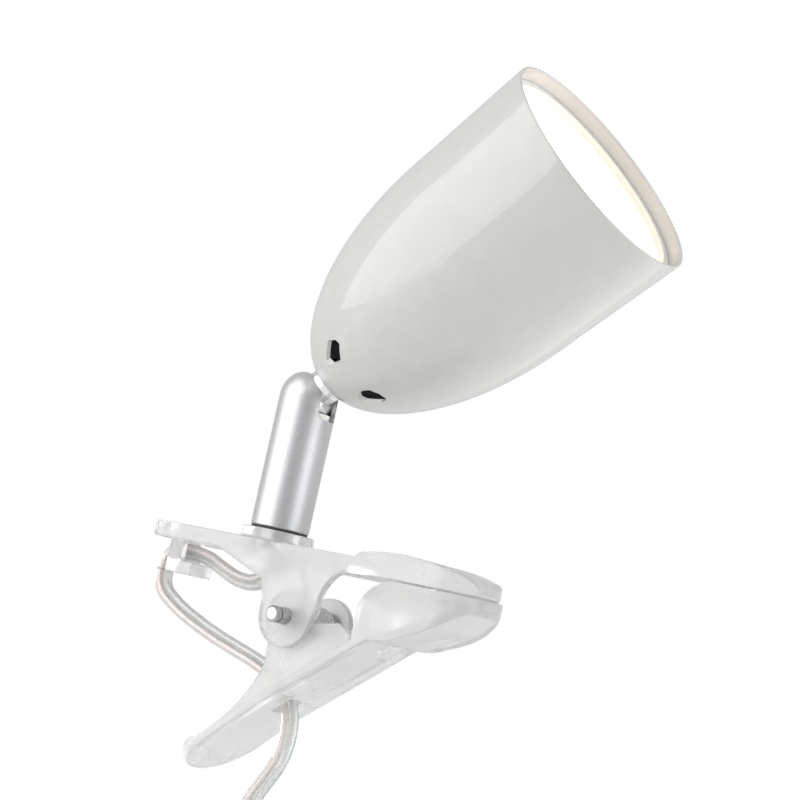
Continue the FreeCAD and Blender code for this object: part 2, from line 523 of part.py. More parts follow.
# The tail leaves the foot of the coil sideways and turns down to the plug.
TAIL_ROUTE = [(-35.0, 0, -237.0), (-41.5, 0, -240.5), (-46.0, 0, -247.0), (-47.0, 0, -256.0), (-47.0, 0, -266.0)]
tube_along("cord_tail", TAIL_ROUTE, cord_d)
tail_x, plug_top = TAIL_ROUTE[-1][0], TAIL_ROUTE[-1][2]

# Flat two-pin plug hanging pins down.
plug_wide, plug_thick, plug_long = 35.0, 13.6, 34.0
plug_face = plug_top - plug_long


def plug_ring(wide, thick, height, corner):
    """Rounded rectangle, as a closed wire, round the lead's axis."""
    w, t = wide / 2 - corner, thick / 2 - corner
    points, edges = [], []
    for cx, cy, turn in ((w, t, 0), (-w, t, 90), (-w, -t, 180), (w, -t, 270)):
        for step in (0, 45, 90):
            angle = math.radians(turn + step)
            points.append(V(tail_x + cx + corner * math.cos(angle), cy + corner * math.sin(angle), height))
    for i in range(4):
        a, b, c = points[3 * i:3 * i + 3]
        edges.append(Part.Arc(a, b, c).toShape())
        edges.append(Part.LineSegment(c, points[(3 * i + 3) % 12]).toShape())
    return Part.Wire(edges)


plug = Part.makeLoft([plug_ring(7.0, 6.4, plug_top, 2.9), plug_ring(11.0, 8.0, plug_top - 8, 3.0),
                      plug_ring(30.0, 12.6, plug_top - 20, 3.2),
                      plug_ring(plug_wide, plug_thick, plug_face, 3.4)], True, True)
pin_spots = [V(tail_x - 9.3, 0, plug_face), V(tail_x + 9.3, 0, plug_face)]
contact_r, root_r, contact_long = 2.0, 1.6, 17.6
for at in pin_spots:
    plug = plug.cut(Part.makeCylinder(root_r, 12, at))
solid_feature("plug_body", plug)
pins = []
for at in pin_spots:
    tip = at - V(0, 0, contact_long)
    pin = Part.makeCylinder(contact_r, contact_long, tip).fuse(Part.makeSphere(contact_r, tip))
    pins.append(pin.fuse(Part.makeCylinder(root_r, 12, at)).removeSplitter())
solid_feature("plug_pins", Part.makeCompound(pins))

# ---------------------------------------------------------------- screws inside the head
board_screws = []
for i in range(3):
    at = V(13.6 * math.cos(math.radians(120 * i + 30)), 13.6 * math.sin(math.radians(120 * i + 30)), 83.6)
    board_screws.append(Part.makeCylinder(1.9, 1.1, at))
solid_feature("board_screws", Part.makeCompound(board_screws), HEAD)

# ---------------------------------------------------------------- checks and export
doc.recompute()
for item in doc.Objects:
    if "Invalid" in item.State or "Error" in item.State:
        raise RuntimeError(f"{item.Name} failed: {item.State}")
for item in subparts:
    shape = item.Shape
    if shape.isNull() or not shape.isValid() or not shape.Solids:
        raise RuntimeError(f"{item.Label} has no valid solid")
    print(f"{item.Label}: {len(shape.Solids)} solid, {shape.Volume / 1000:.2f} cm3")
for item in subparts:
    item.Shape.exportStep(f"parts/{item.Label}.step")
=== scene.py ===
import bmesh
import bpy
import math
from mathutils import Matrix, Vector


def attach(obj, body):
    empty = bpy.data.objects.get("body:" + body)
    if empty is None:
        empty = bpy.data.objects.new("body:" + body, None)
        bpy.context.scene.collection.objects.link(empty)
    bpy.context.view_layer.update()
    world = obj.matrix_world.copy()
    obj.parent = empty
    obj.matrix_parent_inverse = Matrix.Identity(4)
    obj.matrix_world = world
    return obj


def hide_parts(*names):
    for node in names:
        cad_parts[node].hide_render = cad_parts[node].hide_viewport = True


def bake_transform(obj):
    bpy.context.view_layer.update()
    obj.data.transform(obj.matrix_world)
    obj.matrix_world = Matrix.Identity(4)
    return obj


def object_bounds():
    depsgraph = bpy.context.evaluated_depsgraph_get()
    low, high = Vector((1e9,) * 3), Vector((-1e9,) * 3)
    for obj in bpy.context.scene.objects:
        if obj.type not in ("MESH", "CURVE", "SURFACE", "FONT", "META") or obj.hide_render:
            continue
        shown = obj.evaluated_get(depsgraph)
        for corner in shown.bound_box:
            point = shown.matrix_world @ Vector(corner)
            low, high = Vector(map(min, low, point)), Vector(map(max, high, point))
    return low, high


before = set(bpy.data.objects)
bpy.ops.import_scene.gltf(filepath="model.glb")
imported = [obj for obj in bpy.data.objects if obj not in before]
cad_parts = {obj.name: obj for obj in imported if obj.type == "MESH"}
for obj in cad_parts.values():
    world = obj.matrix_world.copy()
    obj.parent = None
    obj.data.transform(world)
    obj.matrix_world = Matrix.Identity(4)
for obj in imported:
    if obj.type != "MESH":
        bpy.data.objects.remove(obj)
cad_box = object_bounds()

# ---- Camera
# A long lens, a little below the shade and to the left of the jaws, with the lamp leaning to
# the right by the camera's own roll.
lens_mm, sensor_mm = 120, 36
turn, rise, roll = math.radians(33.86), math.radians(-5.2), math.radians(12.46)
aim = Vector((-0.02911, 0, 0.05358))
away = Vector((math.sin(turn) * math.cos(rise), -math.cos(turn) * math.cos(rise), math.sin(rise)))
level = Vector((math.cos(turn), math.sin(turn), 0))
upward = away.cross(level)
camera_data = bpy.data.cameras.new("camera")
camera_data.lens, camera_data.sensor_width = lens_mm, sensor_mm
camera_data.clip_start, camera_data.clip_end = 0.05, 20
camera = bpy.data.objects.new("camera", camera_data)
bpy.context.scene.collection.objects.link(camera)
camera_right = level * math.cos(roll) + upward * math.sin(roll)
camera_up = upward * math.cos(roll) - level * math.sin(roll)
camera.matrix_world = Matrix.Translation(aim + away * 0.79863) @ Matrix(
    (camera_right, camera_up, away)).transposed().to_4x4()
bpy.context.scene.camera = camera

# ---- Twin lead
# Flat figure-eight lead: two stranded conductors in one clear vinyl jacket, with a thin green
# tracer thread. It leaves the nipple under the arm, runs back through the hook, round the back of
# the clip, down through the slot in the lever and on to the switch.
jacket_radius, jacket_offset = 0.00145, 0.0012
core_radius, tracer_radius, tracer_shift = 0.00078, 0.00016, 0.00105
lead_height = 0.0086  # the foot of the arm tube stands this far above the middle of the grip
lead_back = 0.062


def placed(route):
    """Route points in millimetres from the foot of the arm tube, as metres in the frame."""
    return [Vector((x / 1000 - lead_back, y / 1000, z / 1000 + lead_height)) for x, y, z in route]


def spline_line(points):
    """Points along the smooth spline that has the given control points."""
    curve = bpy.data.curves.new("lead_line", "CURVE")
    curve.dimensions, curve.resolution_u = "3D", 10
    spline = curve.splines.new("NURBS")
    spline.points.add(len(points) - 1)
    for spot, point in zip(spline.points, points):
        spot.co = (*point, 1)
    spline.order_u = 3
    spline.use_endpoint_u = True
    holder = bpy.data.objects.new("lead_line", curve)
    bpy.context.scene.collection.objects.link(holder)
    drawn = bpy.data.meshes.new_from_object(holder)
    line = [v.co.copy() for v in drawn.vertices]
    bpy.data.objects.remove(holder)
    return line


def frames_along(line, turns):
    """Across and edge directions at each point, carried along the line and turned by a little each step."""
    ways = []
    across = Vector((0, 1, 0))
    for i, point in enumerate(line):
        ahead = (line[min(i + 1, len(line) - 1)] - line[max(i - 1, 0)]).normalized()
        across = (across - ahead * across.dot(ahead)).normalized()
        share = i / (len(line) - 1)
        angle = turns[0] + (turns[1] - turns[0]) * share
        side = ahead.cross(across)
        ways.append((across * math.cos(angle) + side * math.sin(angle),
                     side * math.cos(angle) - across * math.sin(angle)))
    return ways


def swept(name, line, ways, outline, material):
    """A closed skin: one ring of outline points at each point of the line, capped at both ends."""
    shape = bmesh.new()
    rings = []
    for point, (wide, thick) in zip(line, ways):
        rings.append([shape.verts.new(point + wide * a + thick * b) for a, b in outline])
    count = len(outline)
    for low, high in zip(rings, rings[1:]):
        for i in range(count):
            shape.faces.new((low[i], low[(i + 1) % count], high[(i + 1) % count], high[i]))
    shape.faces.new(reversed(rings[0]))
    shape.faces.new(rings[-1])
    bmesh.ops.recalc_face_normals(shape, faces=shape.faces)
    mesh = bpy.data.meshes.new(name)
    shape.to_mesh(mesh)
    shape.free()
    for face in mesh.polygons:
        face.use_smooth = len(face.vertices) == 4
    mesh.materials.append(material)
    piece = bpy.data.objects.new(name, mesh)
    bpy.context.scene.collection.objects.link(piece)
    return piece


def finish_material(name):
    material = bpy.data.materials.new(name)
    material.use_nodes = True
    nodes, links = material.node_tree.nodes, material.node_tree.links
    return material, nodes, links, nodes["Principled BSDF"]


def object_noise(nodes, links, scale, detail=2.0, stretch=(1, 1, 1)):
    """Noise in the object's own metres; stretch draws it out along an axis."""
    where = nodes.new("ShaderNodeTexCoord")
    mapping = nodes.new("ShaderNodeMapping")
    mapping.inputs["Scale"].default_value = stretch
    noise = nodes.new("ShaderNodeTexNoise")
    noise.inputs["Scale"].default_value = scale
    noise.inputs["Detail"].default_value = detail
    links.new(where.outputs["Object"], mapping.inputs["Vector"])
    links.new(mapping.outputs["Vector"], noise.inputs["Vector"])
    return noise


def tint_between(nodes, links, factor, first, second, socket, low=0.3, high=0.7):
    ramp = nodes.new("ShaderNodeValToRGB")
    ramp.color_ramp.elements[0].position, ramp.color_ramp.elements[1].position = low, high
    ramp.color_ramp.elements[0].color = (*first, 1)
    ramp.color_ramp.elements[1].color = (*second, 1)
    links.new(factor, ramp.inputs["Fac"])
    links.new(ramp.outputs["Color"], socket)


def relief(nodes, links, height, bsdf, strength, distance):
    bump = nodes.new("ShaderNodeBump")
    bump.inputs["Strength"].default_value = strength
    bump.inputs["Distance"].default_value = distance
    links.new(height, bump.inputs["Height"])
    links.new(bump.outputs["Normal"], bsdf.inputs["Normal"])


def uneven_gloss(nodes, links, factor, bsdf, smoothest, roughest):
    """Roughness that follows the given noise between two values."""
    spread = nodes.new("ShaderNodeMapRange")
    spread.inputs["To Min"].default_value, spread.inputs["To Max"].default_value = smoothest, roughest
    links.new(factor, spread.inputs["Value"])
    links.new(spread.outputs["Result"], bsdf.inputs["Roughness"])


clear_vinyl, nodes, links, bsdf = finish_material("clear_vinyl")
bsdf.inputs["IOR"].default_value = 1.45
bsdf.inputs["Transmission Weight"].default_value = 0.78
haze = object_noise(nodes, links, 160, 2)
tint_between(nodes, links, haze.outputs["Fac"], (0.97, 0.975, 0.97), (1.0, 1.0, 1.0),
             bsdf.inputs["Base Color"])
uneven_gloss(nodes, links, haze.outputs["Fac"], bsdf, 0.05, 0.12)
relief(nodes, links, haze.outputs["Fac"], bsdf, 0.08, 0.0002)


def strand_finish(name, dark, light):
    """Fine bare strands laid side by side: bright metal with narrow darker lines."""
    material, nodes, links, bsdf = finish_material(name)
    bsdf.inputs["Metallic"].default_value = 0.5
    bsdf.inputs["Roughness"].default_value = 0.38
    grain = object_noise(nodes, links, 1500, 2)
    tint_between(nodes, links, grain.outputs["Fac"], dark, light, bsdf.inputs["Base Color"], 0.38, 0.62)
    relief(nodes, links, grain.outputs["Fac"], bsdf, 0.25, 0.0001)
    return material


tinned_strands = strand_finish("tinned_strands", (0.80, 0.80, 0.79), (0.98, 0.98, 0.97))
copper_strands = strand_finish("copper_strands", (0.86, 0.76, 0.72), (0.98, 0.92, 0.90))
tracer_green, nodes, links, bsdf = finish_material("tracer_green")
bsdf.inputs["Roughness"].default_value = 0.45
fleck = object_noise(nodes, links, 900)
tint_between(nodes, links, fleck.outputs["Fac"], (0.02, 0.30, 0.24), (0.10, 0.52, 0.42),
             bsdf.inputs["Base Color"])


def round_outline(radius, shift, count):
    return [(shift + radius * math.cos(2 * math.pi * i / count), radius * math.sin(2 * math.pi * i / count))
            for i in range(count)]


waist = math.acos(-jacket_offset / jacket_radius)
lobe_steps = 13
jacket_outline = []
for side in (1, -1):
    for i in range(lobe_steps):
        angle = -waist + 2 * waist * i / (lobe_steps - 1)
        if i < lobe_steps - 1:
            jacket_outline.append((side * (jacket_offset + jacket_radius * math.cos(angle)),
                                   side * jacket_radius * math.sin(angle)))


def twin_lead(name, line, turns):
    """Jacket, two conductors and the tracer thread along one line; returns the jacket and its cores."""
    ways = frames_along(line, turns)
    jacket = swept(name + "_jacket", line, ways, jacket_outline, clear_vinyl)
    cores = [
        swept(name + "_tinned_core", line, ways, round_outline(core_radius, jacket_offset, 10),
              tinned_strands),
        swept(name + "_copper_core", line, ways, round_outline(core_radius, -jacket_offset, 10),
              copper_strands),
        swept(name + "_tracer", line, ways, round_outline(tracer_radius, jacket_offset + tracer_shift, 6),
              tracer_green),
    ]
    return jacket, cores


hook_route = placed([(0, 0, -12.0), (-1.3, 0, -15.6), (-5.6, 0, -17.8), (-11.2, 0, -17.5), (-17.0, 0, -15.6),
                     (-22.6, 0, -13.2), (-28.7, 0, -12.2), (-34.4, 0, -12.4), (-39.2, 0, -14.2),
                     (-39.5, 0, -19.2)])
loop_route = placed([(-39.5, 0, -19.2), (-39.8, 0, -24.2), (-32.6, 0, -29.0), (-25.2, 0, -32.2),
                     (-17.2, 0, -35.1), (-8.2, 0, -37.7), (1.0, 0, -40.0), (9.3, 0, -43.0), (14.0, 0, -47.3)])
drop_route = placed([(14.0, 0, -47.3), (18.0, 0, -50.95), (19.6, 0, -57.2), (19.6, 0, -63.5),
                     (18.0, 0, -69.6), (14.8, 0, -75.2), (11.5, 0, -81.4), (9.1, 0, -89.0),
                     (8.0, 0, -97.5), (7.9, 0, -106.0)])
hook_turn, loop_turn, drop_turn, coil_turn = math.radians(62), math.radians(50), math.radians(66), 0.0

hook_line = spline_line(hook_route)
hook_lead, hook_cores = twin_lead("hook_lead", hook_line, (hook_turn, loop_turn))
for piece in (hook_lead, *hook_cores):
    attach(piece, "clamp")
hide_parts("cord_hook")

loop_line = spline_line(loop_route)
loop_lead, loop_cores = twin_lead("loop_lead", loop_line, (loop_turn, loop_turn))
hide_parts("cord_loop")
for piece in (loop_lead, *loop_cores):
    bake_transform(piece)

# ---- Inline switch
# Two clear moulded shells screwed together on the lead, with a white rocker in the front one and two brass
# contacts.
clear_styrene, nodes, links, bsdf = finish_material("clear_styrene")
bsdf.inputs["IOR"].default_value = 1.55
bsdf.inputs["Transmission Weight"].default_value = 0.6
bsdf.inputs["Coat Weight"].default_value = 0.3
cloud = object_noise(nodes, links, 60, 3)
tint_between(nodes, links, cloud.outputs["Fac"], (0.84, 0.85, 0.84), (0.92, 0.92, 0.91),
             bsdf.inputs["Base Color"])
uneven_gloss(nodes, links, cloud.outputs["Fac"], bsdf, 0.12, 0.3)


def plain_finish(name, dark, light, rough, metal, scale, depth, stretch=(1, 1, 1), coat=0.0):
    """Everyday finish: two close tones mixed by fine noise, uneven gloss and a shallow grain."""
    material, nodes, links, bsdf = finish_material(name)
    bsdf.inputs["Metallic"].default_value = metal
    bsdf.inputs["Coat Weight"].default_value = coat
    grain = object_noise(nodes, links, scale, 3, stretch)
    tint_between(nodes, links, grain.outputs["Fac"], dark, light, bsdf.inputs["Base Color"])
    uneven_gloss(nodes, links, grain.outputs["Fac"], bsdf, rough * 0.8, rough * 1.25)
    relief(nodes, links, grain.outputs["Fac"], bsdf, 0.3, depth)
    return material


def coat_nodes(material, *names):
    for name in names:
        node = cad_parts[name]
        node.data.materials.clear()
        node.data.materials.append(material)


rocker_white = plain_finish("rocker_white", (0.84, 0.84, 0.83), (0.90, 0.90, 0.89), 0.25, 0, 400, 0.00005,
                            coat=0.4)
zinc_plate = plain_finish("zinc_plate", (0.52, 0.53, 0.54), (0.74, 0.75, 0.76), 0.34, 1, 900, 0.00006)
stamped_brass = plain_finish("stamped_brass", (0.62, 0.46, 0.20), (0.80, 0.64, 0.34), 0.3, 1, 700, 0.00005)
coat_nodes(clear_styrene, "switch_front", "switch_back")
coat_nodes(rocker_white, "switch_rocker")
coat_nodes(zinc_plate, "switch_screws")
coat_nodes(stamped_brass, "switch_contacts")

drop_line = spline_line(drop_route)
drop_lead, drop_cores = twin_lead("drop_lead", drop_line, (loop_turn, drop_turn))
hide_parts("cord_drop")
for piece in (drop_lead, *drop_cores):
    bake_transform(piece)

# ---- Coil of spare lead
# The rest of the lead, wound by hand into a round coil of six turns and tied, hanging from the
# switch. Its turns lie side by side in three layers, and its last one runs out to the plug.
coil_x, coil_z, coil_radius = -22.1, -202.0, 30.0
layers = [(0, -2.8), (-3.1, -2.8), (-3.1, 2.8), (0, 2.8), (3.2, 2.8), (3.2, -2.8), (3.2, -2.8)]
steps_round = 12
coil_points = [(7.9, 0, -168.0), (7.9, -0.6, -177.0), (7.8, -1.6, -187.0)]
for step in range(6 * steps_round + 3):
    whole, part = divmod(step / steps_round, 1)
    here, following = layers[int(whole)], layers[min(int(whole) + 1, len(layers) - 1)]
    ease = min(max((part - 0.55) / 0.4, 0), 1)
    ease = ease * ease * (3 - 2 * ease)
    wander = 0.35 * math.sin(2.3 * step) + 0.2 * math.sin(5.1 * step + 1)
    out = coil_radius + here[0] + (following[0] - here[0]) * ease + wander
    across = here[1] + (following[1] - here[1]) * ease + 0.3 * math.sin(1.7 * step + 2)
    angle = -2 * math.pi * step / steps_round
    coil_points.append((coil_x + out * math.cos(angle), across, coil_z + out * math.sin(angle)))
coil_points += [(-23.5, -1.6, -236.2), (-32.0, -0.6, -237.2), (-40.5, 0, -240.0), (-45.8, 0, -246.6),
                (-47.0, 0, -255.5), (-47.0, 0, -266.0)]
coil_line = spline_line(placed(coil_points))
coil_lead, coil_cores = twin_lead("coil_lead", coil_line, (coil_turn, coil_turn))
for piece in (coil_lead, *coil_cores):
    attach(piece, "clamp")
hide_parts("cord_coil", "cord_link", "cord_tail")

# ---- Cable tie and plug
# Nylon band round the top of the coil, and a clear moulded two-pin plug with plated pins.
nylon = plain_finish("nylon", (0.80, 0.79, 0.75), (0.90, 0.89, 0.86), 0.45, 0, 500, 0.00005)
plated_pins = plain_finish("plated_pins", (0.66, 0.64, 0.58), (0.86, 0.84, 0.78), 0.22, 1, 900, 0.00004)
coat_nodes(nylon, "cable_tie")
coat_nodes(clear_styrene, "plug_body")
coat_nodes(plated_pins, "plug_pins")

# ---- Clip
# Two frosted clear mouldings: the upper half with the boss, the hook and one leg, and the lever
# with its lugs, its handle and the lower paddle. Every edge is a little rounded by the mould.
frosted, nodes, links, bsdf = finish_material("frosted_clear")
bsdf.inputs["IOR"].default_value = 1.49
bsdf.inputs["Transmission Weight"].default_value = 0.72
milk = object_noise(nodes, links, 45, 3)
tint_between(nodes, links, milk.outputs["Fac"], (0.95, 0.95, 0.945), (0.99, 0.99, 0.985),
             bsdf.inputs["Base Color"])
matt = object_noise(nodes, links, 500, 2)
uneven_gloss(nodes, links, milk.outputs["Fac"], bsdf, 0.20, 0.32)
relief(nodes, links, matt.outputs["Fac"], bsdf, 0.12, 0.0001)


skin_voxel, skin_rounds = 0.0004, 4


def moulding(node, name, voxel, rounds, material):
    """The node's solid with a fine even skin and softened edges."""
    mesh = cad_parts[node].data.copy()
    joined = bmesh.new()
    joined.from_mesh(mesh)
    bmesh.ops.remove_doubles(joined, verts=joined.verts, dist=2e-6)
    joined.to_mesh(mesh)
    joined.free()
    rough = bpy.data.objects.new(name + "_rough", mesh)
    bpy.context.scene.collection.objects.link(rough)
    skin = rough.modifiers.new("skin", "REMESH")
    skin.mode, skin.voxel_size = "VOXEL", voxel
    soften = rough.modifiers.new("soften", "SMOOTH")
    soften.factor, soften.iterations = 0.5, rounds
    done = bpy.data.meshes.new_from_object(rough.evaluated_get(bpy.context.evaluated_depsgraph_get()))
    bpy.data.objects.remove(rough)
    done.materials.clear()
    done.materials.append(material)
    for face in done.polygons:
        face.use_smooth = True
    piece = bpy.data.objects.new(name, done)
    bpy.context.scene.collection.objects.link(piece)
    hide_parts(node)
    return piece


upper_clip = moulding("upper_jaw", "upper_clip", skin_voxel, skin_rounds, frosted)
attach(upper_clip, "clamp")
lower_clip = moulding("lower_jaw", "lower_clip", skin_voxel, skin_rounds, frosted)
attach(lower_clip, "lever")

# ---- Hinge pin, spring, nipple and nuts
# Turned steel pin with a groove near its free end, a wound spring between the lugs, and the threaded nipple
# with its nuts and washer.
satin_steel = plain_finish("satin_steel", (0.40, 0.40, 0.41), (0.55, 0.55, 0.56), 0.3, 1, 1100, 0.00004)
spring_wire = plain_finish("spring_wire", (0.55, 0.55, 0.56), (0.72, 0.72, 0.73), 0.28, 1, 1300, 0.00004)
black_fibre = plain_finish("black_fibre", (0.02, 0.02, 0.02), (0.045, 0.045, 0.045), 0.6, 0, 900, 0.00006)
turned_brass = plain_finish("turned_brass", (0.60, 0.46, 0.22), (0.76, 0.62, 0.34), 0.28, 1, 900, 0.00004)
coat_nodes(satin_steel, "hinge_pin")
coat_nodes(spring_wire, "seat_spring")
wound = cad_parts["clamp_spring"]
jaw_spring = bpy.data.objects.new("jaw_spring", wound.data.copy())
jaw_spring.matrix_world = wound.matrix_world
jaw_spring.data.materials.clear()
jaw_spring.data.materials.append(spring_wire)
bpy.context.scene.collection.objects.link(jaw_spring)
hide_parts("clamp_spring")
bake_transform(jaw_spring)
coat_nodes(zinc_plate, "nipple_tube", "top_nut", "clip_nut", "shade_nut", "board_screws", "spring_plate")
coat_nodes(black_fibre, "swivel_washer")
coat_nodes(turned_brass, "arm_bush")
coat_nodes(nylon, "ball_seat")
coat_nodes(clear_vinyl, "arm_lead")

# ---- Arm tube
# Drawn steel tube with a domed top and a slot for the swivel's neck, sprayed with a fine-grained
# silver lacquer.
silver_lacquer, nodes, links, bsdf = finish_material("silver_lacquer")
bsdf.inputs["Metallic"].default_value = 0.9
bsdf.inputs["Coat Weight"].default_value = 0.15
bsdf.inputs["Coat Roughness"].default_value = 0.3
flake = object_noise(nodes, links, 2600, 2)
tint_between(nodes, links, flake.outputs["Fac"], (0.57, 0.575, 0.585), (0.68, 0.685, 0.695),
             bsdf.inputs["Base Color"], 0.35, 0.65)
uneven_gloss(nodes, links, flake.outputs["Fac"], bsdf, 0.34, 0.44)
relief(nodes, links, flake.outputs["Fac"], bsdf, 0.2, 0.0001)
coat_nodes(silver_lacquer, "arm_tube")

# ---- Swivel
# A turned ball with two flats on its neck, and a bright collar that seats against the shade.
knuckle_steel = plain_finish("knuckle_steel", (0.55, 0.55, 0.56), (0.72, 0.72, 0.73), 0.22, 1, 1500, 0.00003)
collar_chrome = plain_finish("collar_chrome", (0.80, 0.80, 0.81), (0.90, 0.90, 0.91), 0.12, 1, 500, 0.00002)
coat_nodes(knuckle_steel, "swivel_ball")
coat_nodes(collar_chrome, "swivel_collar")

# ---- Shade
# Spun steel bullet, stove-enamelled gloss white inside and out, with a rolled lip at the mouth
# and three pairs of cooling slots near the nose, a little fuller than those of the solid.
shade_tilt = math.radians(46.2)
ball_centre = Vector((-0.062, 0, 0.0493))
head_place = Matrix.Translation(ball_centre) @ Matrix.Rotation(shade_tilt, 4, "Y")
belt, depth, belt_radius, mouth_radius, mouth = 79.0, 71.0, 35.3, 36.75, 117.4
wall, nose_hole, lip_height = 1.0, 3.1, 0.7


def spun(name, profile, material, steps=144):
    """Skin turned about the shade's own axis from a closed loop of (radius, height) in millimetres."""
    shape = bmesh.new()
    rings = []
    for radius, height in profile:
        if radius < 1e-6:
            rings.append([shape.verts.new((0, 0, height / 1000))] * steps)
            continue
        rings.append([shape.verts.new((radius * math.cos(2 * math.pi * i / steps) / 1000,
                                       radius * math.sin(2 * math.pi * i / steps) / 1000, height / 1000))
                      for i in range(steps)])
    pairs = list(zip(rings, rings[1:]))
    if profile[0][0] > 1e-6 or profile[-1][0] > 1e-6:
        pairs.append((rings[-1], rings[0]))
    for low, high in pairs:
        for i in range(steps):
            corners = []
            for vertex in (low[i], low[(i + 1) % steps], high[(i + 1) % steps], high[i]):
                if vertex not in corners:
                    corners.append(vertex)
            if len(corners) > 2:
                shape.faces.new(corners)
    bmesh.ops.recalc_face_normals(shape, faces=shape.faces)
    mesh = bpy.data.meshes.new(name)
    shape.to_mesh(mesh)
    shape.free()
    mesh.materials.append(material)
    for face in mesh.polygons:
        face.use_smooth = True
    piece = bpy.data.objects.new(name, mesh)
    piece.matrix_world = head_place
    bpy.context.scene.collection.objects.link(piece)
    return piece


def nose_curve(inset, count):
    """Points of the bullet's quarter ellipse from the nose hole to the belt."""
    first = math.asin(nose_hole / (belt_radius - inset))
    return [((belt_radius - inset) * math.sin(first + (math.pi / 2 - first) * i / count),
             belt - (depth - inset) * math.cos(first + (math.pi / 2 - first) * i / count))
            for i in range(count + 1)]


def flared_wall(inset, count):
    """Points up the slightly flared wall, from just past the belt to the foot of the lip."""
    return [(belt_radius - inset + (mouth_radius - belt_radius) * i / count,
             belt + (mouth - lip_height - belt) * i / count) for i in range(1, count + 1)]


shade_profile = nose_curve(0, 60) + flared_wall(0, 8)
shade_profile += [(mouth_radius - 0.03, mouth - 0.35), (mouth_radius - 0.2, mouth - 0.08),
                  (mouth_radius - 0.5, mouth), (mouth_radius - 0.8, mouth - 0.08),
                  (mouth_radius - 0.97, mouth - 0.35)]
shade_profile += list(reversed(nose_curve(wall, 60) + flared_wall(wall, 8)))

gloss_enamel, nodes, links, bsdf = finish_material("gloss_enamel")
bsdf.inputs["Roughness"].default_value = 0.32
bsdf.inputs["Coat Weight"].default_value = 1.0
bsdf.inputs["Coat Roughness"].default_value = 0.03
peel = object_noise(nodes, links, 160, 2)
tint_between(nodes, links, peel.outputs["Fac"], (0.565, 0.56, 0.545), (0.585, 0.58, 0.565),
             bsdf.inputs["Base Color"])
relief(nodes, links, peel.outputs["Fac"], bsdf, 0.04, 0.0002)
shade = spun("shade", shade_profile, gloss_enamel)

near_slot = [(22.55, -3.5), (24.1, -1.7), (24.35, 0.0), (22.4, 3.4), (21.5, 3.4), (19.3, 1.8), (18.95, -0.1),
             (21.95, -3.5)]
far_slot = [(22.1, -3.3), (22.9, -2.9), (23.9, -0.5), (24.0, 2.3), (23.2, 3.2), (22.0, 3.1), (19.5, 1.0),
            (18.9, -0.7), (19.4, -2.0), (21.2, -3.4)]
slot_pair, slot_floor, slot_top = ((-77.4, near_slot), (-29.9, far_slot)), 0.0, 0.030
slot_turns = [(turn_deg + 120 * i, shape) for turn_deg, shape in slot_pair for i in range(3)]
cutter_shape = bmesh.new()
for turn_deg, slot_outline in slot_turns:
    facing = Matrix.Rotation(math.radians(turn_deg), 3, "Z")
    floor_ring, top_ring = [[cutter_shape.verts.new(facing @ Vector((r / 1000, w / 1000, h)))
                             for r, w in slot_outline] for h in (slot_floor, slot_top)]
    cutter_shape.faces.new(reversed(floor_ring))
    cutter_shape.faces.new(top_ring)
    for i in range(len(slot_outline)):
        j = (i + 1) % len(slot_outline)
        cutter_shape.faces.new((floor_ring[i], floor_ring[j], top_ring[j], top_ring[i]))
bmesh.ops.recalc_face_normals(cutter_shape, faces=cutter_shape.faces)
cutter_mesh = bpy.data.meshes.new("slot_cutter")
cutter_shape.to_mesh(cutter_mesh)
cutter_shape.free()
cutter = bpy.data.objects.new("slot_cutter", cutter_mesh)
cutter.matrix_world = head_place
bpy.context.scene.collection.objects.link(cutter)
cutting = shade.modifiers.new("slots", "BOOLEAN")
cutting.operation, cutting.solver, cutting.object = "DIFFERENCE", "EXACT", cutter
cut_mesh = bpy.data.meshes.new_from_object(shade.evaluated_get(bpy.context.evaluated_depsgraph_get()))
shade.modifiers.clear()
shade.data = cut_mesh
bpy.data.objects.remove(cutter)
sharp = bmesh.new()
sharp.from_mesh(cut_mesh)
for edge in sharp.edges:
    edge.smooth = not (len(edge.link_faces) == 2 and edge.calc_face_angle(0) > math.radians(40))
sharp.to_mesh(cut_mesh)
sharp.free()
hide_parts("shade_shell")
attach(shade, "head")

# ---- Light source
# Opal acrylic disc behind the lip, glowing most in the middle, and its white ring.
# Behind it are the reflector, the board with its emitters, the heat sink and the driver in its pot.
glow_middle, glow_edge, glow_strength = (1.0, 0.90, 0.77, 1), (0.62, 0.47, 0.35, 1), 1.75
opal, nodes, links, bsdf = finish_material("opal_lit")
bsdf.inputs["Roughness"].default_value = 0.4
bsdf.inputs["Base Color"].default_value = (0.30, 0.30, 0.28, 1)
where = nodes.new("ShaderNodeTexCoord")
radial = nodes.new("ShaderNodeVectorMath")
radial.operation = "MULTIPLY"
radial.inputs[1].default_value = (1, 1, 0)
span = nodes.new("ShaderNodeVectorMath")
span.operation = "LENGTH"
links.new(where.outputs["Object"], radial.inputs[0])
links.new(radial.outputs["Vector"], span.inputs[0])
fade = nodes.new("ShaderNodeMapRange")
fade.inputs["From Min"].default_value, fade.inputs["From Max"].default_value = 0.018, 0.0345
links.new(span.outputs["Value"], fade.inputs["Value"])
glow = nodes.new("ShaderNodeValToRGB")
glow.color_ramp.elements[0].color = glow_middle
glow.color_ramp.elements[1].color = glow_edge
links.new(fade.outputs["Result"], glow.inputs["Fac"])
links.new(glow.outputs["Color"], bsdf.inputs["Emission Color"])
bsdf.inputs["Emission Strength"].default_value = glow_strength
lens_profile = [(0, 108.8), (35.1, 108.8), (35.2, 109.1), (35.2, 110.2), (35.0, 110.5), (34.0, 110.7),
                (30, 110.95), (24, 111.15), (16, 111.35), (8, 111.5), (0, 111.55)]
opal_disc = spun("opal_disc", lens_profile, opal)
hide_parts("diffuser_lens")
